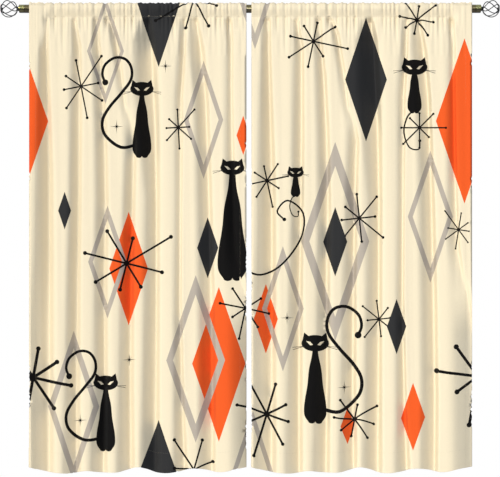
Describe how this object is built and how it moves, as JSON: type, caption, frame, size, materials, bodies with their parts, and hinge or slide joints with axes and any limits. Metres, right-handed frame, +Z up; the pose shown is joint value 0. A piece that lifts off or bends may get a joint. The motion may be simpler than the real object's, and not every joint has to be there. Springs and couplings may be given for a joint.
{
  "type": "curtain set on a rod",
  "caption": "Pair of rod-pocket curtain panels gathered on an extending brass rod with open wire ball finials, resting in wall brackets; panels draw along the rod.",
  "frame": {"origin": "on the wall plane, level with the rod's axis, midway between the two wall brackets", "axes": "+X along the rod to the right as seen from the room, +Y into the wall, +Z up"},
  "size_m": [1.7, 0.1197, 1.6075],
  "materials": {
    "cream_cloth": "matte",
    "aged_brass": "gloss",
    "black_wire": "satin",
    "brushed_steel": "satin",
    "glide_plastic": "matte"
  },
  "bodies": {
    "brackets": {"left_wall_plate": "aged_brass", "left_bracket_arm": "aged_brass", "left_rod_cradle": "aged_brass", "right_wall_plate": "aged_brass", "right_bracket_arm": "aged_brass", "right_rod_cradle": "aged_brass"},
    "rod": {"left_tube": "aged_brass", "telescope_bush": "glide_plastic", "left_ferrule": "aged_brass", "left_outer_hem": "cream_cloth", "right_outer_hem": "cream_cloth"},
    "sliding_tube": {"right_tube": "aged_brass", "inner_tube": "aged_brass", "joining_sleeve": "glide_plastic", "glide_plug": "glide_plastic", "right_ferrule": "aged_brass"},
    "left_stud": {"left_finial_stud": "brushed_steel"},
    "left_finial": {"left_finial_collar": "black_wire", "left_finial_cage": "black_wire"},
    "left_clamp_screw": {"left_clamp_screw": "brushed_steel"},
    "left_clamp_knob": {"left_clamp_knob": "brushed_steel"},
    "left_fold_6": {"left_pocket_6": "cream_cloth", "left_fold_6": "cream_cloth"},
    "left_fold_5": {"left_pocket_5": "cream_cloth", "left_fold_5": "cream_cloth"},
    "left_fold_4": {"left_pocket_4": "cream_cloth", "left_fold_4": "cream_cloth"},
    "left_fold_3": {"left_pocket_3": "cream_cloth", "left_fold_3": "cream_cloth"},
    "left_fold_2": {"left_pocket_2": "cream_cloth", "left_fold_2": "cream_cloth"},
    "left_fold_1": {"left_pocket_1": "cream_cloth", "left_fold_1": "cream_cloth"},
    "right_stud": {"right_finial_stud": "brushed_steel"},
    "right_finial": {"right_finial_collar": "black_wire", "right_finial_cage": "black_wire"},
    "right_clamp_screw": {"right_clamp_screw": "brushed_steel"},
    "right_clamp_knob": {"right_clamp_knob": "brushed_steel"},
    "right_fold_6": {"right_pocket_6": "cream_cloth", "right_fold_6": "cream_cloth"},
    "right_fold_5": {"right_pocket_5": "cream_cloth", "right_fold_5": "cream_cloth"},
    "right_fold_4": {"right_pocket_4": "cream_cloth", "right_fold_4": "cream_cloth"},
    "right_fold_3": {"right_pocket_3": "cream_cloth", "right_fold_3": "cream_cloth"},
    "right_fold_2": {"right_pocket_2": "cream_cloth", "right_fold_2": "cream_cloth"},
    "right_fold_1": {"right_pocket_1": "cream_cloth", "right_fold_1": "cream_cloth"}
  },
  "joints": [
    {"name": "rod_lift", "type": "slide", "parent": "brackets", "child": "rod", "axis": [0, 0, 1], "range_m": [0, 0.02]},
    {"name": "rod_extend", "type": "slide", "parent": "rod", "child": "sliding_tube", "axis": [1, 0, 0], "range_m": [-0.008, 0.36]},
    {"name": "left_stud_travel", "type": "slide", "parent": "rod", "child": "left_stud", "axis": [-1, 0, 0], "range_m": [0, 0.00501]},
    {"name": "left_finial_turn", "type": "hinge", "parent": "left_stud", "child": "left_finial", "pos_m": [-0.785, -0.09, 0], "axis": [-1, 0, 0], "range_deg": [0, 1440]},
    {"name": "left_clamp_travel", "type": "slide", "parent": "brackets", "child": "left_clamp_screw", "axis": [0, 0, -1], "range_m": [0, 0.0028]},
    {"name": "left_clamp_turn", "type": "hinge", "parent": "left_clamp_screw", "child": "left_clamp_knob", "pos_m": [-0.739, -0.09, -0.0206], "axis": [0, 0, -1], "range_deg": [0, 1442]},
    {"name": "left_panel_draw", "type": "slide", "parent": "rod", "child": "left_fold_6", "axis": [-1, 0, 0], "range_m": [0, 0.4181]},
    {"name": "left_fold_5_slide", "type": "slide", "parent": "rod", "child": "left_fold_5", "axis": [-1, 0, 0], "range_m": [0, 0.3423]},
    {"name": "left_fold_4_slide", "type": "slide", "parent": "rod", "child": "left_fold_4", "axis": [-1, 0, 0], "range_m": [0, 0.2663]},
    {"name": "left_fold_3_slide", "type": "slide", "parent": "rod", "child": "left_fold_3", "axis": [-1, 0, 0], "range_m": [0, 0.1902]},
    {"name": "left_fold_2_slide", "type": "slide", "parent": "rod", "child": "left_fold_2", "axis": [-1, 0, 0], "range_m": [0, 0.1142]},
    {"name": "left_fold_1_slide", "type": "slide", "parent": "rod", "child": "left_fold_1", "axis": [-1, 0, 0], "range_m": [0, 0.0382]},
    {"name": "right_stud_travel", "type": "slide", "parent": "sliding_tube", "child": "right_stud", "axis": [1, 0, 0], "range_m": [0, 0.00501]},
    {"name": "right_finial_turn", "type": "hinge", "parent": "right_stud", "child": "right_finial", "pos_m": [0.785, -0.09, 0], "axis": [1, 0, 0], "range_deg": [0, 1440]},
    {"name": "right_clamp_travel", "type": "slide", "parent": "brackets", "child": "right_clamp_screw", "axis": [0, 0, -1], "range_m": [0, 0.0028]},
    {"name": "right_clamp_turn", "type": "hinge", "parent": "right_clamp_screw", "child": "right_clamp_knob", "pos_m": [0.739, -0.09, -0.0206], "axis": [0, 0, -1], "range_deg": [0, 1442]},
    {"name": "right_panel_draw", "type": "slide", "parent": "rod", "child": "right_fold_6", "axis": [1, 0, 0], "range_m": [0, 0.4222]},
    {"name": "right_fold_5_slide", "type": "slide", "parent": "rod", "child": "right_fold_5", "axis": [1, 0, 0], "range_m": [0, 0.3456]},
    {"name": "right_fold_4_slide", "type": "slide", "parent": "rod", "child": "right_fold_4", "axis": [1, 0, 0], "range_m": [0, 0.2689]},
    {"name": "right_fold_3_slide", "type": "slide", "parent": "rod", "child": "right_fold_3", "axis": [1, 0, 0], "range_m": [0, 0.1921]},
    {"name": "right_fold_2_slide", "type": "slide", "parent": "rod", "child": "right_fold_2", "axis": [1, 0, 0], "range_m": [0, 0.1153]},
    {"name": "right_fold_1_slide", "type": "slide", "parent": "rod", "child": "right_fold_1", "axis": [1, 0, 0], "range_m": [0, 0.0386]}
  ],
  "couplings": [
    {"joint": "left_stud_travel", "follows": "left_finial_turn", "m_per_rad": 0.00019894},
    {"joint": "left_clamp_turn", "follows": "left_clamp_travel", "rad_per_m": 8976},
    {"joint": "left_fold_5_slide", "follows": "left_panel_draw", "ratio": 0.81818},
    {"joint": "left_fold_4_slide", "follows": "left_panel_draw", "ratio": 0.63636},
    {"joint": "left_fold_3_slide", "follows": "left_panel_draw", "ratio": 0.45455},
    {"joint": "left_fold_2_slide", "follows": "left_panel_draw", "ratio": 0.27273},
    {"joint": "left_fold_1_slide", "follows": "left_panel_draw", "ratio": 0.090909},
    {"joint": "right_stud_travel", "follows": "right_finial_turn", "m_per_rad": 0.00019894},
    {"joint": "right_clamp_turn", "follows": "right_clamp_travel", "rad_per_m": 8976},
    {"joint": "right_fold_5_slide", "follows": "right_panel_draw", "ratio": 0.81818},
    {"joint": "right_fold_4_slide", "follows": "right_panel_draw", "ratio": 0.63636},
    {"joint": "right_fold_3_slide", "follows": "right_panel_draw", "ratio": 0.45455},
    {"joint": "right_fold_2_slide", "follows": "right_panel_draw", "ratio": 0.27273},
    {"joint": "right_fold_1_slide", "follows": "right_panel_draw", "ratio": 0.090909}
  ]
}
